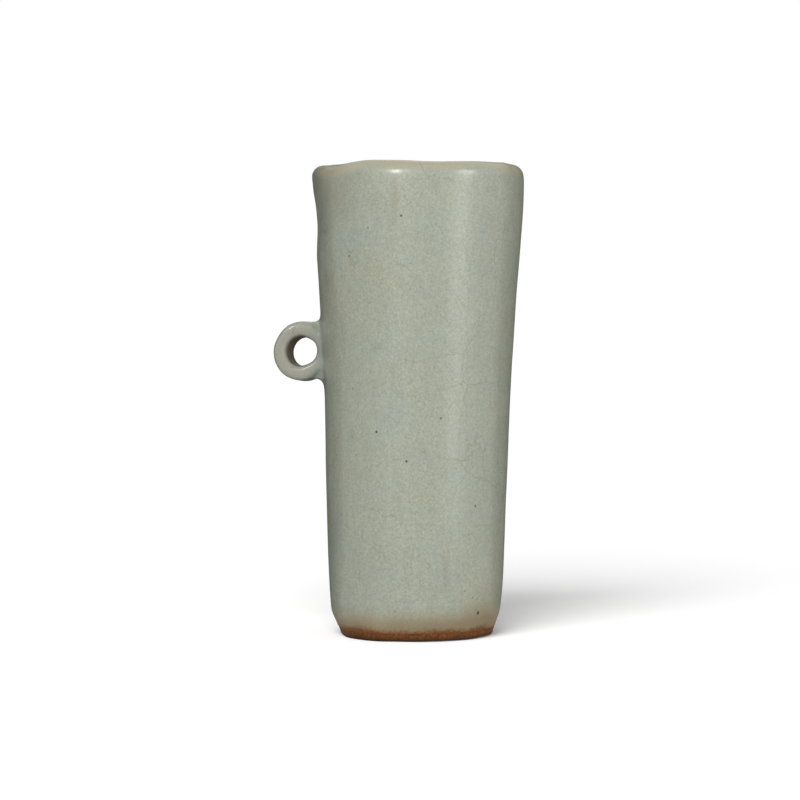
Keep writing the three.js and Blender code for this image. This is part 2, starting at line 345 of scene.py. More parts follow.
# %% The coat of glaze
coarse_face = glaze_outline(wall_steps=7, bore_steps=5)
hidden_face = moved_in(coarse_face)
coat = throw("celadon_coat", hidden_face[::-1] + open_face)

# %% The clay pot under it
CLAY_BITE = -0.05 * MM  # the clay reaches this far into the coat, so that no gap opens
FOOT_ROUND = 0.25 * MM
FOOT_FLARE = 0.12 * MM  # the bare edge stands out this much past the straight line of the bevel
TRIM_STEP = 0.9 * MM  # between the fine grooves that the trimming tool left under the foot
TRIM_GROOVE = 0.08 * MM

clay_face = moved_in(coarse_face, CLAY_BITE)
underside = [(POLE_RADIUS, 0)]
while underside[-1][0] < FOOT_RADIUS - 3 * TRIM_STEP:
    underside.append((underside[-1][0] + TRIM_STEP, TRIM_GROOVE if len(underside) % 2 else 0))
foot_edge = FOOT_RADIUS + FOOT_FLARE
underside.append((foot_edge - 2 * FOOT_ROUND, 0))
foot = arc((foot_edge - FOOT_ROUND, FOOT_ROUND), (FOOT_ROUND, FOOT_ROUND), -90, 0, 3)
pot = throw("bare_clay_pot", underside + foot + clay_face)

# %% [markdown]
# ## What the hands did
# No thrown cup stays true. When the ring was pressed on, the soft rim sank over it, and a finger left a
# shallow groove under the lip. The cage is subdivided first, so that it is round. With proportional
# editing a few picked vertices are then moved and their neighbours follow, less and less with distance,
# just as soft clay does. The glaze and the clay get the same pushes. A slow wander of a tenth of a
# millimetre takes away the last machine evenness. Then the foot is rubbed flat, as on a stone, by
# scaling its lowest vertices to one level.


# %% Subdivide
def apply_modifier(piece, kind, **settings):
    """Adds a modifier with its settings and applies it."""
    work_on(piece)
    modifier = piece.modifiers.new(kind.lower(), kind)
    for name, value in settings.items():
        setattr(modifier, name, value)
    bpy.ops.object.modifier_apply(modifier=modifier.name)


for piece in (coat, pot):
    apply_modifier(piece, "SUBSURF", levels=2, render_levels=2)
    bpy.ops.object.shade_smooth()
    print(piece.name, "has", len(piece.data.polygons), "faces")


# %% Soft pushes
def soft_push(piece, test, move, reach):
    """Moves the vertices that pass a test, in millimetres, and lets those within reach follow."""
    count = pick(piece, test)
    bpy.ops.transform.translate(
        value=Vector(move) * MM,
        use_proportional_edit=True,
        proportional_edit_falloff="SMOOTH",
        proportional_size=reach * MM,
    )
    return count


RIM_GRIP = 87 * MM  # the pushes on the rim hold it above this height
FOOT_GRIP = 2.2 * MM  # and those on the foot below this one
FAR_END_LOW = 88.2 * MM  # the far end of the lip's crest lies above this height
FAR_END_START = 18 * MM  # and further than this from the foot's centre
GROOVE_HEIGHT = 79.6 * MM  # middle of the finger's groove over the ring
GROOVE_GRIP = 1.2 * MM
GROOVE_ANGLE = 14  # degrees to each side of the ring


def on_rim(least, most):
    """A test for the rim between two angles from the ring, on both sides of it."""
    return lambda p: p.z > RIM_GRIP and least <= abs(from_ring(p)) <= most


def on_foot(least, most):
    """A test for the foot, glazed or bare, between two angles from the ring round to the front."""
    return lambda p: p.z < FOOT_GRIP and least < -from_ring(p) < most


def on_far_end(p):
    """A test for the far end of the lip's crest."""
    return p.z > FAR_END_LOW and p.x > FAR_END_START


def on_groove(p):
    """A test for the middle of the finger's groove."""
    return abs(p.z - GROOVE_HEIGHT) < GROOVE_GRIP and abs(from_ring(p)) < GROOVE_ANGLE


PUSHES = [  # where, the move and its reach in millimetres
    (on_rim(0, 20), (0.12, 0, -0.1), 3),
    (on_rim(0, 33), (0, 0, -0.8), 8.8),
    (on_rim(66, 78), (0, 0, 0.06), 5),
    (on_rim(105, 135), (0, 0, -0.14), 8),
    (on_rim(160, 180), (0, 0, -0.37), 12),
    (on_far_end, (-0.1, 0, -0.4), 2.6),
    (on_groove, (0.53, 0, 0), 7.6),
    (on_foot(28, 58), (-0.3, -0.75, -0.06), 5),
    (on_foot(150, 181), (0, 0, 0.12), 5),
]


def shape_by_hand(piece):
    """Gives a piece every push."""
    start_editing(piece)
    held = [soft_push(piece, *push) for push in PUSHES]
    stop_editing()
    print(piece.name, "vertices held by each push:", held)


WANDER_SIZE = 13 * MM
WANDER_DEPTH = 0.22 * MM  # between its lowest and its highest

slow_wander = bpy.data.textures.new("slow wander", "CLOUDS")
slow_wander.noise_scale = WANDER_SIZE
slow_wander.noise_depth = 1

for piece in (coat, pot):
    shape_by_hand(piece)
    apply_modifier(piece, "DISPLACE", texture=slow_wander, strength=WANDER_DEPTH)

# %% Rub the foot flat
FOOT_LEVEL = -0.04 * MM

start_editing(pot)
rubbed = pick(pot, lambda p: p.z < FOOT_LEVEL)
bpy.ops.transform.resize(value=(1, 1, 0), center_override=(0, 0, FOOT_LEVEL))
stop_editing()
print("vertices rubbed level:", rubbed)

# %% [markdown]
# ## The ring
# The ring is a strip of clay, bent round a stick and pressed on with its end slightly turned and tipped.
# Its section is a broad rectangle with round corners, so a plane is bevelled at its four corners and
# spun round the ring's axis. The ring is made flat at the origin, with X towards the wall, Y up and Z
# towards the front, and is then put in its place.

# %% The ring's place
RING_HEIGHT = 53.65 * MM
RING_STAND_OFF = 3.8 * MM  # middle of the hole to the wall
RING_TURN = math.radians(22)
RING_TILT = math.radians(6.5)

to_wall = Vector((math.cos(RING_TURN), -math.sin(RING_TURN), 0))
up_ring = Vector((math.sin(RING_TURN), math.cos(RING_TURN), 0)) * math.sin(RING_TILT)
up_ring.z = math.cos(RING_TILT)
to_front = to_wall.cross(up_ring)

wall_side = centre_at(RING_HEIGHT) - wall_radius(RING_HEIGHT)
ring_centre = Vector((wall_side, 0, RING_HEIGHT)) - to_wall * RING_STAND_OFF
ring_place = Matrix((to_wall, up_ring, to_front)).transposed().to_4x4()
ring_place.translation = ring_centre
print("middle of the ring, in mm:", [round(value / MM, 2) for value in ring_centre])

# %% The bent strip
RING_RADIUS = 4.17 * MM  # to the middle of the strip
STRIP_THICK = 2.84 * MM
STRIP_WIDE = 4.8 * MM
STRIP_EDGE = 1.15 * MM  # radius of the strip's rounded edges
FINGERS = [  # angle on the ring, 1 on its outside or -1 in the hole, and the push away from the middle
    (90, 1, 0.1),
    (205, 1, 0.12),
    (0, -1, 0.5),
]
FINGER_WIDTH = 0.85  # cosine of half the angle that a finger takes on the ring
FINGER_REACH = 2.2  # millimetres


def flat_plane(name, width, height, middle):
    """A new piece: a flat plane, which still has its size as a scale."""
    bpy.ops.object.select_all(action="DESELECT")
    bpy.ops.mesh.primitive_plane_add(size=1, location=middle)
    piece = bpy.context.object
    piece.name = name
    piece.scale = (width, height, 1)
    return piece


ring = flat_plane("ring_coat", STRIP_THICK, STRIP_WIDE, (RING_RADIUS, 0, 0))
ring.rotation_euler.x = math.radians(90)
work_on(ring)
bpy.ops.object.transform_apply()
start_editing(ring)
select_mesh()
bpy.ops.mesh.bevel(offset=STRIP_EDGE, segments=4, affect="VERTICES")
bpy.ops.mesh.delete(type="ONLY_FACE")
select_mesh()
bpy.ops.mesh.spin(steps=60, angle=math.tau, center=(0, 0, 0), axis=(0, 0, 1), use_auto_merge=True)
select_mesh()
bpy.ops.mesh.remove_doubles(threshold=TOUCHING)
bpy.ops.mesh.normals_make_consistent(inside=False)
for angle, side, push in FINGERS:
    lean = Vector((math.cos(math.radians(angle)), math.sin(math.radians(angle)), 0))
    soft_push(
        ring,
        lambda p: side * (p.xy.length - RING_RADIUS) > 0
        and p.xy.normalized().dot(lean.xy) > FINGER_WIDTH,
        lean * push,
        FINGER_REACH,
    )
stop_editing()
print("ring strip has", len(ring.data.vertices), "vertices")

# %% [markdown]
# ## The slip in the corners
# The potter filled the angle between ring and wall with slip, above and below, so that both sides run
# level from the ring to the wall and turn into it in a small hollow curve. Each filling starts as an L:
# a plane, whose end is extruded into the wall and then along it, away from the ring. The L's inner
# corner is bevelled to a hollow round, and the whole is extruded to most of the strip's width. The wall
# slants away behind the ring, so this last extrusion slants too.

# %% Slip above and below
IN_WALL = 1.3 * MM  # how far the filling reaches into the wall
ALONG_WALL = 3.4 * MM
SLIP_NARROW = 1.45 * MM  # the filling is narrower than the strip, by this much on each side
SLIP_TOP = 5.7 * MM  # the ring's middle to the level side of the filling above it
SLIP_BOTTOM = 5.05 * MM  # and of the one below it
HOLLOW_ABOVE = 1.2 * MM  # radius of the hollow round between that side and the wall
HOLLOW_BELOW = 2.05 * MM
HOLE_MARGIN = 0.1 * MM  # how far the fillings stay off the ring's hole
WALL_TRIES = 12  # steps that close in on the wall, more than are needed


def off_wall(place):
    """Distance from the cup's outer side, less than nothing inside the wall."""
    return math.hypot(place.x - centre_at(place.z), place.y) - wall_radius(place.z)


def reach_wall(up, front):
    """Length along the ring's own X from its middle to the wall, at a height and a depth on the ring."""
    length = RING_STAND_OFF
    for _ in range(WALL_TRIES):
        length += off_wall(ring_place @ Vector((length, up, front)))
    return length


def slip_filling(name, side, edge, fillet):
    """side is 1 above and -1 below; edge is how far the filling reaches from the ring's middle."""
    turn_in = side * (edge + fillet)
    half_wide = STRIP_WIDE / 2 - SLIP_NARROW
    front, back = reach_wall(turn_in, half_wide), reach_wall(turn_in, -half_wide)
    thick = edge - (RING_RADIUS - STRIP_THICK / 2) - HOLE_MARGIN
    piece = flat_plane(name, front, thick, (front / 2, side * (edge - thick / 2), half_wide))
    work_on(piece)
    bpy.ops.object.transform_apply()
    start_editing(piece)
    pick(piece, lambda p: p.x > front - TOUCHING)
    extrude(IN_WALL, 0, 0)
    pick(piece, lambda p: p.x > front - TOUCHING and side * p.y > edge - TOUCHING)
    extrude(0, side * ALONG_WALL, 0)
    bpy.ops.transform.translate(value=(IN_WALL / 2, 0, 0))
    select_mesh()
    bpy.ops.mesh.dissolve_faces()
    pick(piece, lambda p: abs(p.x - front) < TOUCHING and abs(side * p.y - edge) < TOUCHING)
    bpy.ops.mesh.bevel(offset=fillet, segments=6, affect="VERTICES")
    select_mesh()
    extrude(back - front, 0, -2 * half_wide)
    select_mesh()
    bpy.ops.mesh.normals_make_consistent(inside=False)
    stop_editing()
    print(name, "meets the wall at, in mm:", round(front / MM, 2), round(back / MM, 2))
    return piece


slip_above = slip_filling("slip_above", 1, SLIP_TOP, HOLLOW_ABOVE)
slip_below = slip_filling("slip_below", -1, SLIP_BOTTOM, HOLLOW_BELOW)
for piece in (ring, slip_above, slip_below):
    piece.matrix_world = ring_place
    work_on(piece)
    bpy.ops.object.transform_apply()

# %% The clay under the ring's glaze
RING_GLAZE = 0.35 * MM


def clay_core(piece, name):
    """A copy of a piece, thinner by the glaze's thickness on all sides."""
    work_on(piece)
    bpy.ops.object.duplicate()
    core = bpy.context.object
    core.name = name
    start_editing(core)
    select_mesh()
    bpy.ops.transform.shrink_fatten(value=-RING_GLAZE)
    stop_editing()
    print(name, "has", len(core.data.polygons), "faces")
    return core


clay_ring = clay_core(ring, "clay_ring")
clay_above = clay_core(slip_above, "slip_above_ring")
clay_below = clay_core(slip_below, "slip_below_ring")

# %% [markdown]
# ## One skin over ring, slip and wall
# Glaze runs from the wall over the slip to the ring with no seam. To get that, a patch of the coat's own
# outside is copied and thickened inward, all four pieces are joined, and a voxel remesh turns them into
# one skin. Smoothing then rounds it as molten glaze does, most in the corners, where glaze pools. The
# patch stands a few hundredths of a millimetre proud near the ring and sinks under the coat at its rim,
# so that its edge doesn't show.

# %% A patch of the wall
PATCH_ANGLE = 27  # degrees to each side of the ring
PATCH_LOW = 42 * MM
PATCH_HIGH = 66 * MM
PATCH_PROUD = 0.035 * MM
PATCH_SUNK = 0.3 * MM
PATCH_FADE = 4 * MM  # width over which it sinks
PATCH_THICK = 1.4 * MM
SKIN_DEPTH = 0.25 * MM  # less than the coat's thickness, so that only its outside is picked
DEGREES_PER_MM = 3  # round the wall, roughly


def on_patch(place, shrink=0):
    """True on the patch, or further than shrink millimetres inside its rim."""
    low, high = PATCH_LOW + shrink * MM, PATCH_HIGH - shrink * MM
    angle = PATCH_ANGLE - shrink * DEGREES_PER_MM
    return low < place.z < high and abs(from_ring(place)) < angle


start_editing(coat)
pick(coat, lambda p: on_patch(p) and off_wall(p) > -SKIN_DEPTH)
bpy.ops.mesh.duplicate()
bpy.ops.mesh.separate(type="SELECTED")
stop_editing()
patch = next(piece for piece in bpy.context.selected_objects if piece is not coat)
start_editing(patch)
select_mesh()
bpy.ops.transform.shrink_fatten(value=PATCH_PROUD)
pick(patch, lambda p: not on_patch(p, 1))
bpy.ops.transform.shrink_fatten(
    value=-PATCH_SUNK,
    use_proportional_edit=True,
    proportional_edit_falloff="SMOOTH",
    proportional_size=PATCH_FADE,
)
stop_editing()
apply_modifier(patch, "SOLIDIFY", thickness=PATCH_THICK, offset=-1)
print("patch has", len(patch.data.polygons), "faces")

# %% One skin
SKIN_VOXEL = 0.14 * MM
CORNER_TALL = 8.5 * MM  # the corners end this far above and below the ring's middle
CORNER_DEEP = 5 * MM  # and this far to the front and back of it
CORNER_START = 1 * MM  # they begin this far from it towards the wall
CORNER_SUNK = 0.3 * MM  # and take in what lies this deep in the wall
CORNER_SMOOTHING = [(2.2, 12), (1.6, 40), (1.1, 70)]  # height off the wall in millimetres, and repeats

bpy.ops.object.select_all(action="DESELECT")
for piece in (patch, slip_above, slip_below, ring):
    piece.select_set(True)
bpy.context.view_layer.objects.active = ring
bpy.ops.object.join()
apply_modifier(ring, "REMESH", mode="VOXEL", voxel_size=SKIN_VOXEL)
to_ring = ring_place.inverted()


def in_corner(place, height):
    """True where the ring and its slip turn into the wall, up to a height off the wall."""
    local = to_ring @ place
    near = abs(local.y) < CORNER_TALL and abs(local.z) < CORNER_DEEP and local.x > CORNER_START
    return near and -CORNER_SUNK < off_wall(place) < height * MM


start_editing(ring)
select_mesh()
bpy.ops.mesh.vertices_smooth(factor=0.5, repeat=8)
for height, repeat in CORNER_SMOOTHING:
    pick(ring, lambda p: in_corner(p, height))
    bpy.ops.mesh.vertices_smooth(factor=0.5, repeat=repeat)
stop_editing()
bpy.ops.object.shade_smooth()
print("ring_coat has", len(ring.data.polygons), "faces")

# %% [markdown]
# ## What each piece stands for
# Each piece stands for the CAD solids of the same part of the cup: the coat for the glaze inside and
# outside, the pot for the thrown body, and the ring's skin, ring and slip each for their own. Nothing
# moves, so everything rides on the one body, which is the root.

# %% Pieces and bodies
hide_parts("outer_glaze", "inner_glaze")
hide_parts("thrown_body")
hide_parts("ring_glaze")
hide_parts("ring_loop")
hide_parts("upper_slip_joint")
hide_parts("lower_slip_joint")
glazed = [coat, ring]
bare_clay = [pot, clay_ring, clay_above, clay_below]
for piece in glazed + bare_clay:
    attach(piece, "root")
print("pieces made here:", [piece.name for piece in glazed + bare_clay])

# %% [markdown]
# ## Nodes in few words
# A material is a tree of nodes. A few small functions keep its code short: they add any node with its
# settings and wires, mix two colours, stretch a value from one range to another, and do sums. Every
# pattern reads Object coordinates in millimetres, so that it lies still on the piece from all sides,
# and runs on unbroken from the wall to the ring.


# %% Node helpers
def feed(tree, node, wires):
    """Sets each named input of a node to a value, or links it to an output."""
    for socket, value in wires.items():
        if isinstance(value, bpy.types.NodeSocket):
            tree.links.new(value, node.inputs[socket])
        else:
            node.inputs[socket].default_value = value


def put(tree, kind, wires=None, **settings):
    """Adds a node with its settings and wires."""
    node = tree.nodes.new("ShaderNode" + kind)
    for name, value in settings.items():
        setattr(node, name, value)
    feed(tree, node, wires or {})
    return node


def mixed(tree, amount, colour, other, blend="MIX"):
    """A colour turned into another, or blended with it, by an amount from 0 to 1."""
    colours = [(*value, 1) if isinstance(value, tuple) else value for value in (colour, other)]
    wires = {0: amount, 6: colours[0], 7: colours[1]}
    return put(tree, "Mix", wires, data_type="RGBA", blend_type=blend).outputs[2]


def stretched(tree, value, low, high, new_low=0.0, new_high=1.0):
    """A value's range from low to high moved to a new range, with nothing outside it."""
    wires = {"From Min": low, "From Max": high, "To Min": new_low, "To Max": new_high, "Value": value}
    return put(tree, "MapRange", wires).outputs["Result"]


def worked_out(tree, operation, first, second):
    """A sum, product or other operation on two values."""
    return put(tree, "Math", {0: first, 1: second}, operation=operation).outputs[0]


def times(tree, value, factor):
    return worked_out(tree, "MULTIPLY", value, factor)


def layer(tree, mask, strength, under, over):
    """Lays a colour over another through a mask, at part of its full strength."""
    return mixed(tree, times(tree, mask, strength), under, over)


def place_in_mm(tree):
    """Object coordinates in millimetres."""
    coordinates = put(tree, "TexCoord").outputs["Object"]
    return put(tree, "VectorMath", {0: coordinates, "Scale": 1000}, operation="SCALE").outputs[0]


# %% [markdown]
# ## Effects as node groups
# The glaze and the clay share a slow drift, which is fine grain at a small size, and specks. The glaze
# also has crackle lines and soft round patches. Each is a node group with named inputs, built once. A
# group gives out a value only; the shader that uses it stays in the material.


# %% Group helper
def new_group(name, numbers):
    """An empty group with a Place input, number inputs with their usual values, and one output."""
    group = bpy.data.node_groups.new(name, "ShaderNodeTree")
    group.interface.new_socket("Place", in_out="INPUT", socket_type="NodeSocketVector")
    for socket, value in numbers.items():
        made = group.interface.new_socket(socket, in_out="INPUT", socket_type="NodeSocketFloat")
        made.default_value = value
    group.interface.new_socket("Value", in_out="OUTPUT", socket_type="NodeSocketFloat")
    entry = group.nodes.new("NodeGroupInput")
    leave = group.nodes.new("NodeGroupOutput")
    return group, entry.outputs, leave.inputs[0]


def use_group(tree, group, place, **values):
    """Puts a group into a tree and gives its output."""
    wires = {"Place": place}
    wires.update({name.replace("_", " "): value for name, value in values.items()})
    return put(tree, "Group", wires, node_tree=group).outputs[0]


# %% Drift
DRIFT_LOW = 0.3  # a drift seldom leaves the values between these two
DRIFT_HIGH = 0.7

drift, inside, out = new_group("slow drift", {"Size": 10, "Detail": 2, "Seed": 0})
per_mm = worked_out(drift, "DIVIDE", 1.0, inside["Size"])
cloud = put(
    drift,
    "TexNoise",
    {"Vector": inside["Place"], "Scale": per_mm, "Detail": inside["Detail"], "W": inside["Seed"]},
    noise_dimensions="4D",
)
drift.links.new(cloud.outputs["Fac"], out)

# %% Specks
specks, inside, out = new_group("specks", {"Spacing": 2, "Size": 0.1, "Share": 0.3})
per_mm = worked_out(specks, "DIVIDE", 1.0, inside["Spacing"])
cells = put(specks, "TexVoronoi", {"Vector": inside["Place"], "Scale": per_mm}, feature="F1")
distance = times(specks, cells.outputs["Distance"], inside["Spacing"])
parts = put(specks, "SeparateColor", {"Color": cells.outputs["Color"]}).outputs
chosen = worked_out(specks, "LESS_THAN", parts["Red"], inside["Share"])
own_size = times(specks, inside["Size"], stretched(specks, parts["Green"], 0, 1, 0.4, 1))
edge = worked_out(specks, "DIVIDE", distance, own_size)
dot = stretched(specks, edge, 1.2, 0.6)
specks.links.new(times(specks, dot, chosen), out)

# %% Crackle
crackle, inside, out = new_group("crackle", {"Spacing": 9, "Width": 0.12, "Wobble": 2.2})
bends = put(crackle, "TexNoise", {"Vector": inside["Place"], "Scale": 0.22, "Detail": 3})
centred = {0: bends.outputs["Color"], 1: (0.5, 0.5, 0.5)}
bend = put(crackle, "VectorMath", centred, operation="SUBTRACT").outputs[0]
bend = put(crackle, "VectorMath", {0: bend, "Scale": inside["Wobble"]}, operation="SCALE").outputs[0]
bent = put(crackle, "VectorMath", {0: inside["Place"], 1: bend}, operation="ADD").outputs[0]
per_mm = worked_out(crackle, "DIVIDE", 1.0, inside["Spacing"])
cracks = put(crackle, "TexVoronoi", {"Vector": bent, "Scale": per_mm}, feature="DISTANCE_TO_EDGE")
distance = times(crackle, cracks.outputs["Distance"], inside["Spacing"])
line = stretched(crackle, worked_out(crackle, "DIVIDE", distance, inside["Width"]), 1, 0)
crackle.links.new(line, out)

# %% Round patch
patch_mask, inside, out = new_group("round patch", {"X": 0, "Y": 0, "Z": 0, "Reach": 2, "Soft": 1})
middle = put(patch_mask, "CombineXYZ", {axis: inside[axis] for axis in "XYZ"}).outputs[0]
away = put(patch_mask, "VectorMath", {0: inside["Place"], 1: middle}, operation="DISTANCE")
beyond = worked_out(patch_mask, "SUBTRACT", away.outputs["Value"], inside["Reach"])
share = worked_out(patch_mask, "DIVIDE", beyond, inside["Soft"])
patch_mask.links.new(stretched(patch_mask, share, 1, 0), out)
print("node groups:", [group.name for group in bpy.data.node_groups])

# %% [markdown]
# ## Celadon
# Celadon is a thick, slightly milky glaze that is green-grey from a little iron. It is thin and cream
# over the lip, warm on the ring, cooler and deeper where it pooled beside the ring, with painted shade
# darkening that corner too, dotted with small pits and iron specks, and crossed by a few faint brown
# lines and runs. Painted shade also darkens the ring's hole. At the foot it thins out over the orange
# clay in a grainy brown edge. The tree goes from the large to the small: drift of colour first, then lip,
# ring, stains and foot, then specks, runs and crackle.

# %% Celadon colours
GREEN_GREY = (0.402, 0.434, 0.345)
COOL_GREY = (0.391, 0.434, 0.361)
WARM_GREY = (0.416, 0.428, 0.324)
LIP_CREAM = (0.520, 0.482, 0.340)
RING_WARM = (0.355, 0.340, 0.287)
POOL_GREY_AND_SHADE = (0.255, 0.285, 0.250)
THIN_BROWN = (0.345, 0.270, 0.160)
CLAY_ORANGE = (0.200, 0.072, 0.018)
PIT_AND_HOLE_SHADE_BROWN = (0.100, 0.075, 0.045)
IRON_BLACK = (0.040, 0.034, 0.020)
STAIN_BROWN = (0.265, 0.230, 0.143)


def new_material(name):
    material = bpy.data.materials.new(name)
    material.use_nodes = True
    tree = material.node_tree
    return material, tree, tree.nodes["Principled BSDF"]


celadon, tree, shader = new_material("celadon")
place = place_in_mm(tree)
height = put(tree, "SeparateXYZ", {0: place}).outputs["Z"]

# %% Drift of the glaze
RUN_SQUASH = 0.2  # heights count this much in a pattern that is drawn out downwards

cool = stretched(tree, use_group(tree, drift, place, Size=7, Detail=3, Seed=1), 0.48, 0.7)
warm = stretched(tree, use_group(tree, drift, place, Size=12, Seed=5), 0.46, 0.66)
colour = mixed(tree, cool, GREEN_GREY, COOL_GREY)
colour = layer(tree, warm, 0.8, colour, WARM_GREY)
runs = put(tree, "Mapping", {"Vector": place, "Scale": (1, 1, RUN_SQUASH)}).outputs[0]
MOTTLES = [  # where the pattern lies, its size, detail and seed, and how far it swings the brightness
    (place, 2.2, 3, 9, 0.032),
    (runs, 1.2, 2, 14, 0.03),
    (place, 0.8, 2, 3, 0.022),
    (place, 0.32, 2, 4, 0.175),
]
shade = 1.0
for vector, size, detail, seed, swing in MOTTLES:
    pattern = use_group(tree, drift, vector, Size=size, Detail=detail, Seed=seed)
    lighter = stretched(tree, pattern, DRIFT_LOW, DRIFT_HIGH, 1 - swing, 1 + swing)
    shade = times(tree, shade, lighter)
shade = put(tree, "CombineColor", {"Red": shade, "Green": shade, "Blue": shade}).outputs[0]
colour = mixed(tree, 1.0, colour, shade, "MULTIPLY")
print("nodes with the drift:", len(tree.nodes))

# %% Lip
CREAM_START = 88.9  # millimetres up, before the wave is added
CREAM_FULL = 90.1
SUNK_SPOTS = [  # x, y, z, reach, softness, and how much lower the cream starts there
    (-15.5, -10, 88, 3, 7, 1.7),
    (18, -9, 88, 2, 6, 1.3),
]

wave = use_group(tree, drift, place, Size=5, Detail=3, Seed=20)
crest_height = worked_out(tree, "ADD", height, times(tree, wave, 1.6))
for x, y, z, reach, soft, lower in SUNK_SPOTS:
    sunk = use_group(tree, patch_mask, place, X=x, Y=y, Z=z, Reach=reach, Soft=soft)
    crest_height = worked_out(tree, "ADD", crest_height, times(tree, sunk, lower))
crest = stretched(tree, crest_height, CREAM_START, CREAM_FULL)
colour = layer(tree, crest, 0.85, colour, LIP_CREAM)
print("nodes with the lip:", len(tree.nodes))

# %% Ring
RING_IN_MM = dict(zip("XYZ", (value / MM for value in ring_centre)))

on_ring = use_group(tree, patch_mask, place, Reach=4.8, Soft=1.4, **RING_IN_MM)
in_hole = use_group(tree, patch_mask, place, Reach=3.2, Soft=0.6, **RING_IN_MM)
colour = layer(tree, on_ring, 0.7, colour, RING_WARM)
# painted shade: the ring's hole is darkened in its colour, where it lies in shade
colour = layer(tree, in_hole, 0.8, colour, PIT_AND_HOLE_SHADE_BROWN)
print("nodes with the ring:", len(tree.nodes))

# %% Stains, pools and painted corner shade
STAINS = [  # x, y, z, reach, softness, strength: brown casts
    (-15.5, -11.5, 84, 1.5, 6, 0.4),
    (-18.5, -5, 86.5, 1, 4, 0.42),
    (-16.8, -8.5, 67.5, 0.4, 2.5, 0.35),
    (-17.2, -3, 21, 0.5, 6, 0.25),
    (14, -9, 4, 2, 6, 0.55),
]
for x, y, z, reach, soft, strength in STAINS:
    stain = use_group(tree, patch_mask, place, X=x, Y=y, Z=z, Reach=reach, Soft=soft)
    colour = layer(tree, stain, strength, colour, STAIN_BROWN)

CORNER = {"X": -18.4, "Y": -2.4}  # upright line between the ring and the wall, in front
POOLED_AND_SHADED = [  # height on that line, reach, strength: cooler pooled glaze, and painted shade that darkens the corner
    (48.8, 1.2, 0.85),
    (53.4, 0.9, 0.75),
    (57.4, 1.2, 0.65),
]
# partly real pooled glaze, partly painted shade in the corner between ring and wall
for z, reach, strength in POOLED_AND_SHADED:
    pool_and_shade = use_group(tree, patch_mask, place, **CORNER, Z=z, Reach=reach, Soft=1.8)
    colour = layer(tree, pool_and_shade, strength, colour, POOL_GREY_AND_SHADE)
print("nodes with the stains and pools:", len(tree.nodes))

# %% Foot
THIN_START = 4.8  # millimetres up, before the wave and the grain are added
THIN_FULL = 0.8
BARE_START = 0.75
BARE_FULL = -0.2

grain = use_group(tree, drift, place, Size=0.5, Detail=3, Seed=12)
low_right = use_group(tree, patch_mask, place, X=12, Y=-11, Z=3, Reach=3, Soft=7)
foot_height = worked_out(tree, "ADD", height, times(tree, wave, -2.2))
foot_height = worked_out(tree, "ADD", foot_height, times(tree, grain, -1.6))
thin_height = worked_out(tree, "ADD", foot_height, times(tree, low_right, -1.1))
thin = stretched(tree, thin_height, THIN_START, THIN_FULL)
bare = stretched(tree, foot_height, BARE_START, BARE_FULL)
colour = mixed(tree, thin, colour, THIN_BROWN)
colour = mixed(tree, bare, colour, CLAY_ORANGE)
print("nodes with the foot:", len(tree.nodes))

# %% Pits and specks
pits = use_group(tree, specks, place, Spacing=0.85, Size=0.13, Share=0.45)
dark_pits = use_group(tree, specks, place, Spacing=2.1, Size=0.15, Share=0.4)
iron_specks = use_group(tree, specks, place, Spacing=2.5, Size=0.28, Share=0.5)
colour = layer(tree, pits, 0.3, colour, STAIN_BROWN)
colour = layer(tree, dark_pits, 0.5, colour, PIT_AND_HOLE_SHADE_BROWN)
colour = layer(tree, iron_specks, 0.5, colour, PIT_AND_HOLE_SHADE_BROWN)
print("nodes with the specks:", len(tree.nodes))

# %% Iron spots, runs and crackle
IRON_SPOTS = [  # x, z, radius on the front of the wall: the few that catch the eye
    (-3.2, 79.8, 0.11),
    (11.25, 5.1, 0.25),
    (-7.8, 39.5, 0.12),
    (-2.2, 34.1, 0.12),
    (-12.9, 72.2, 0.08),
    (4.2, 42.1, 0.06),
    (10.7, 25.4, 0.08),
]


def front_of_wall(x, z):
    """How far the wall's outside lies to the front, in millimetres, at an x and a height."""
    radius = wall_radius(z * MM) / MM
    aside = (x - centre_at(z * MM) / MM) / radius
    return -ring_depth(radius * MM) / MM * math.sqrt(1 - aside**2)


for x, z, radius in IRON_SPOTS:
    spot = use_group(tree, patch_mask, place, X=x, Y=front_of_wall(x, z), Z=z, Reach=radius, Soft=0.22)
    colour = layer(tree, spot, 0.95, colour, IRON_BLACK)

BROWN_RUNS = [  # x, z, strength of faint brown streaks that ran down with the glaze
    (-4.4, 83.6, 0.35),
    (-14.2, 58, 0.25),
    (5.3, 13, 0.25),
]
for x, z, strength in BROWN_RUNS:
    top = {"X": x, "Y": front_of_wall(x, z), "Z": RUN_SQUASH * z}
    run = use_group(tree, patch_mask, runs, Reach=0.2, Soft=1.1, **top)
    colour = layer(tree, run, strength, colour, STAIN_BROWN)

lines = use_group(tree, crackle, place, Spacing=11, Width=0.18, Wobble=5)
where_lines = stretched(tree, use_group(tree, drift, place, Size=12, Seed=31), 0.46, 0.6)
colour = layer(tree, times(tree, lines, where_lines), 0.45, colour, STAIN_BROWN)
print("nodes with the lines:", len(tree.nodes))

# %% Gloss and surface of the celadon
SMOOTHEST = 0.42
ROUGHEST = 0.56
DULLING = 0.35  # more roughness at the thin edge and in the ring's hole
COAT_WEIGHT = 0.45
PEEL_DEPTH = 0.12 * MM

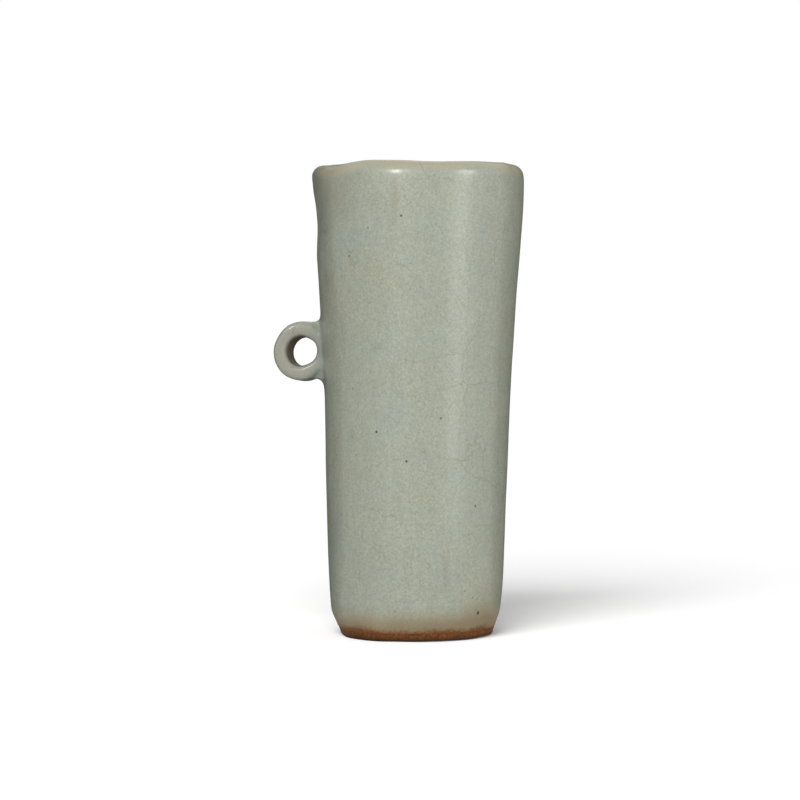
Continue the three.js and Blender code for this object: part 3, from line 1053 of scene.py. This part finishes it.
unevenness = use_group(tree, drift, place, Size=3, Detail=3, Seed=40)
roughness = stretched(tree, unevenness, DRIFT_LOW, DRIFT_HIGH, SMOOTHEST, ROUGHEST)
dull = worked_out(tree, "MAXIMUM", thin, in_hole)
roughness = worked_out(tree, "ADD", roughness, times(tree, dull, DULLING))
peel = use_group(tree, drift, place, Size=1.1, Detail=2, Seed=50)
peel = worked_out(tree, "SUBTRACT", peel, times(tree, dark_pits, 0.4))
bump = put(tree, "Bump", {"Height": peel, "Strength": 0.35, "Distance": PEEL_DEPTH})
coat_weight = worked_out(tree, "SUBTRACT", COAT_WEIGHT, times(tree, dull, COAT_WEIGHT))
feed(tree, shader, {"Base Color": colour, "Roughness": roughness, "Normal": bump.outputs[0]})
feed(tree, shader, {"IOR": 1.45, "Coat Weight": coat_weight, "Coat Roughness": 0.2})
print("nodes in all:", len(tree.nodes))

# %% [markdown]
# ## Bare clay
# The clay is a coarse stoneware that burnt orange-brown where no glaze covers it. It is matt and gritty,
# with darker and paler grains, and darkest at the very edge of the foot: partly its own burnt edge,
# partly painted shade where the foot meets the paper.

# %% Clay
CLAY_LIGHT = (0.270, 0.104, 0.030)
CLAY_DARK = (0.090, 0.036, 0.014)
CLAY_GRAIN = (0.350, 0.190, 0.085)
CLAY_EDGE_AND_SHADE = (0.040, 0.021, 0.012)
EDGE_START = 1.0  # millimetres up: below this the clay darkens to its edge, its own burnt edge and painted contact shade
EDGE_FULL = 0.15
GRIT_DEPTH = 0.2 * MM

clay, tree, shader = new_material("bare clay")
place = place_in_mm(tree)
patchy = stretched(tree, use_group(tree, drift, place, Size=4, Detail=3, Seed=2), 0.35, 0.65)
colour = mixed(tree, patchy, CLAY_ORANGE, CLAY_LIGHT)
grit = use_group(tree, drift, place, Size=0.45, Detail=3, Seed=7)
colour = layer(tree, stretched(tree, grit, 0.55, 0.4), 0.7, colour, CLAY_DARK)
pale_grains = use_group(tree, specks, place, Spacing=1.0, Size=0.16, Share=0.35)
colour = layer(tree, pale_grains, 0.5, colour, CLAY_GRAIN)
height = put(tree, "SeparateXYZ", {0: place}).outputs["Z"]
# the clay's own dark edge, and painted contact shade where the foot meets the paper
colour = mixed(tree, stretched(tree, height, EDGE_START, EDGE_FULL), colour, CLAY_EDGE_AND_SHADE)
bump = put(tree, "Bump", {"Height": grit, "Strength": 0.8, "Distance": GRIT_DEPTH})
feed(tree, shader, {"Base Color": colour, "Normal": bump.outputs[0]})
feed(tree, shader, {"Roughness": 0.85, "Specular IOR Level": 0.2})
print("clay nodes:", len(tree.nodes))

# %% Put the materials on
for piece in glazed + bare_clay:
    piece.data.materials.clear()
    piece.data.materials.append(celadon if piece in glazed else clay)
print("materials:", [material.name for material in (celadon, clay)])

# %% [markdown]
# ## Floor, background and light
# The cup stands on plain white paper. The paper looks pure white away from the cup, which comes from its
# own colour and from light that only the camera sees, never from more light on the cup. The shadow stays,
# because it is what the paper reflects that gets darker there.

# %% Floor
FLOOR_SIZE = 60  # metres, so that its far edge meets the white of the background
FLOOR_HEIGHT = -0.06 * MM  # just below the cup's lowest point
PAPER = 0.8
PAPER_GLOW = 0.2


def in_view(tree):
    """1 where the camera looks, by a reflection too, and 0 for light on the cup."""
    rays = put(tree, "LightPath").outputs
    seen = worked_out(tree, "MAXIMUM", rays["Is Camera Ray"], rays["Is Glossy Ray"])
    return worked_out(tree, "MAXIMUM", seen, rays["Is Transmission Ray"])


bpy.ops.object.select_all(action="DESELECT")
bpy.ops.mesh.primitive_plane_add(size=FLOOR_SIZE, location=(0, 0, FLOOR_HEIGHT))
floor = bpy.context.object
floor.name = "floor"
paper, tree, shader = new_material("white paper")
feed(tree, shader, {"Base Color": (PAPER, PAPER, PAPER, 1), "Roughness": 1, "Specular IOR Level": 0})
glow = times(tree, in_view(tree), PAPER_GLOW)
feed(tree, shader, {"Emission Color": (1, 1, 1, 1), "Emission Strength": glow})
floor.data.materials.append(paper)
floor.visible_diffuse = False  # so that its own lamp throws no light back on the cup
print("paper, in metres across:", FLOOR_SIZE)

# %% World
AMBIENT = 0.28

world = bpy.data.worlds.new("studio")
scene.world = world
world.use_nodes = True
tree = world.node_tree
strength = stretched(tree, in_view(tree), 0, 1, AMBIENT, 1)
feed(tree, tree.nodes["Background"], {"Color": (1, 1, 1, 1), "Strength": strength})
print("ambient light:", AMBIENT)

# %% [markdown]
# ## Lamps
# The cup's colour and its gloss are lit apart, because a lamp can be hidden from either. Soft boxes in
# front, behind and at the right light the colour. The gloss shows five others: a close strip for the
# band of light down the wall, a box for the one under the lip, and small lamps for the lip's sparkle, the
# thin line on the rim and the ring. The paper has a sun of its own, for the soft shadow to the right and
# back. Each lamp is linked to what it lights, so that no second shadow falls on the paper.


# %% Lamp helpers
CUP_MIDDLE = (0, 0, 45)  # millimetres


def lit_only(lamp, name, pieces):
    """Lets a lamp light these pieces and nothing else."""
    receivers = bpy.data.collections.new(name)
    for piece in pieces:
        receivers.objects.link(piece)
    lamp.light_linking.receiver_collection = receivers


def add_lamp(name, kind, azimuth, elevation, distance, power, aim):
    """A lamp turned to a point, in degrees, millimetres and watts. Azimuth 0 is in front, 90 right."""
    turn, rise = math.radians(azimuth), math.radians(elevation)
    out = Vector((math.sin(turn) * math.cos(rise), -math.cos(turn) * math.cos(rise), math.sin(rise)))
    bpy.ops.object.light_add(type=kind, location=(Vector(aim) + out * distance) * MM)
    lamp = bpy.context.object
    lamp.name = name
    lamp.data.energy = power
    lamp.rotation_mode = "QUATERNION"
    lamp.rotation_quaternion = (-out).to_track_quat("-Z", "Y")
    return lamp


def add_panel(name, azimuth, elevation, distance, power, width, height, aim=CUP_MIDDLE):
    """A flat lamp with a width and a height in metres."""
    panel = add_lamp(name, "AREA", azimuth, elevation, distance, power, aim)
    panel.data.shape = "RECTANGLE"
    panel.data.size = width
    panel.data.size_y = height
    return panel


# %% Lamps
RIM_MIDDLE = (0, 0, 88)
STRIP_MIDDLE = (0, 0, 70.5)

front_box = add_panel("front_box", -4, 18, 900, 4.9, 0.5, 0.5)
back_box = add_panel("back_box", 180, 25, 900, 3.5, 0.6, 0.6)
right_fill = add_panel("right_fill", 100, 10, 700, 1.0, 0.3, 0.3)
right_strip = add_panel("right_strip", 45, 0, 200, 0.07, 0.065, 0.14, STRIP_MIDDLE)
high_box = add_panel("high_box", 54, 17, 700, 1.8, 0.2, 0.32, RIM_MIDDLE)
sparkle = add_panel("sparkle", -23, 15, 600, 2.2, 0.07, 0.22, RIM_MIDDLE)
rim_line = add_panel("rim_line", 180, 35, 600, 0.06, 0.1, 0.05, RIM_MIDDLE)
ring_spark = add_panel("ring_spark", -62, 31, 600, 0.9, 0.1, 0.1, ring_centre / MM)

for lamp in (front_box, back_box, right_fill):
    lamp.visible_glossy = False
for lamp in (right_strip, high_box, sparkle, rim_line, ring_spark):
    lamp.visible_diffuse = False
for lamp in (front_box, back_box, right_fill, right_strip, high_box, rim_line):
    lit_only(lamp, lamp.name + " lights the cup", glazed + bare_clay)
lit_only(sparkle, "sparkle lights the wall", [coat])
lit_only(ring_spark, "ring_spark lights the ring", [ring])

SUN_SIZE = math.radians(36)  # a wide sun, for the shadow's soft edge

shadow_sun = add_lamp("shadow_sun", "SUN", -17, 42, 900, 3.5, CUP_MIDDLE)
shadow_sun.data.angle = SUN_SIZE
lit_only(shadow_sun, "shadow_sun lights the paper", [floor])

# %% [markdown]
# ## The black flag
# A photographer keeps the edges of a glossy pot crisp with black cards beside and behind it. One curved
# flag does that here, and only reflections see it. It is a cylinder, cut down to the sector behind the
# cup and open at the top. Its bottom stays, to keep the wall's low edges and the ring's underside dark.

# %% Flag
FLAG_RADIUS = 0.6  # metres
FLAG_HEIGHT = 0.42
FLAG_SIDES = 48
FLAG_LIFT = 0.5 * MM  # off the paper
FLAG_TRIM = 1 * MM  # cut off the top, to open it
FLAG_START = math.radians(19)  # how far behind the cup's sides its two ends stand

bpy.ops.object.select_all(action="DESELECT")
bpy.ops.mesh.primitive_cylinder_add(
    vertices=FLAG_SIDES,
    radius=FLAG_RADIUS,
    depth=FLAG_HEIGHT,
    location=(0, 0, FLAG_HEIGHT / 2 + FLAG_LIFT),
)
flag = bpy.context.object
flag.name = "black_flag"
start_editing(flag)
for side in (1, -1):
    select_mesh()
    keep = (side * math.sin(FLAG_START), math.cos(FLAG_START), 0)
    bpy.ops.mesh.bisect(plane_co=(0, 0, 0), plane_no=keep, clear_inner=True)
select_mesh()
bpy.ops.mesh.bisect(plane_co=(0, 0, FLAG_HEIGHT - FLAG_TRIM), plane_no=(0, 0, 1), clear_outer=True)
stop_editing()
print("flag has", len(flag.data.polygons), "faces")

black, tree, shader = new_material("black cloth")
feed(tree, shader, {"Base Color": (0.01, 0.01, 0.01, 1), "Specular IOR Level": 0})
flag.data.materials.append(black)
flag.visible_camera = False
flag.visible_diffuse = False
flag.visible_transmission = False
flag.visible_shadow = False
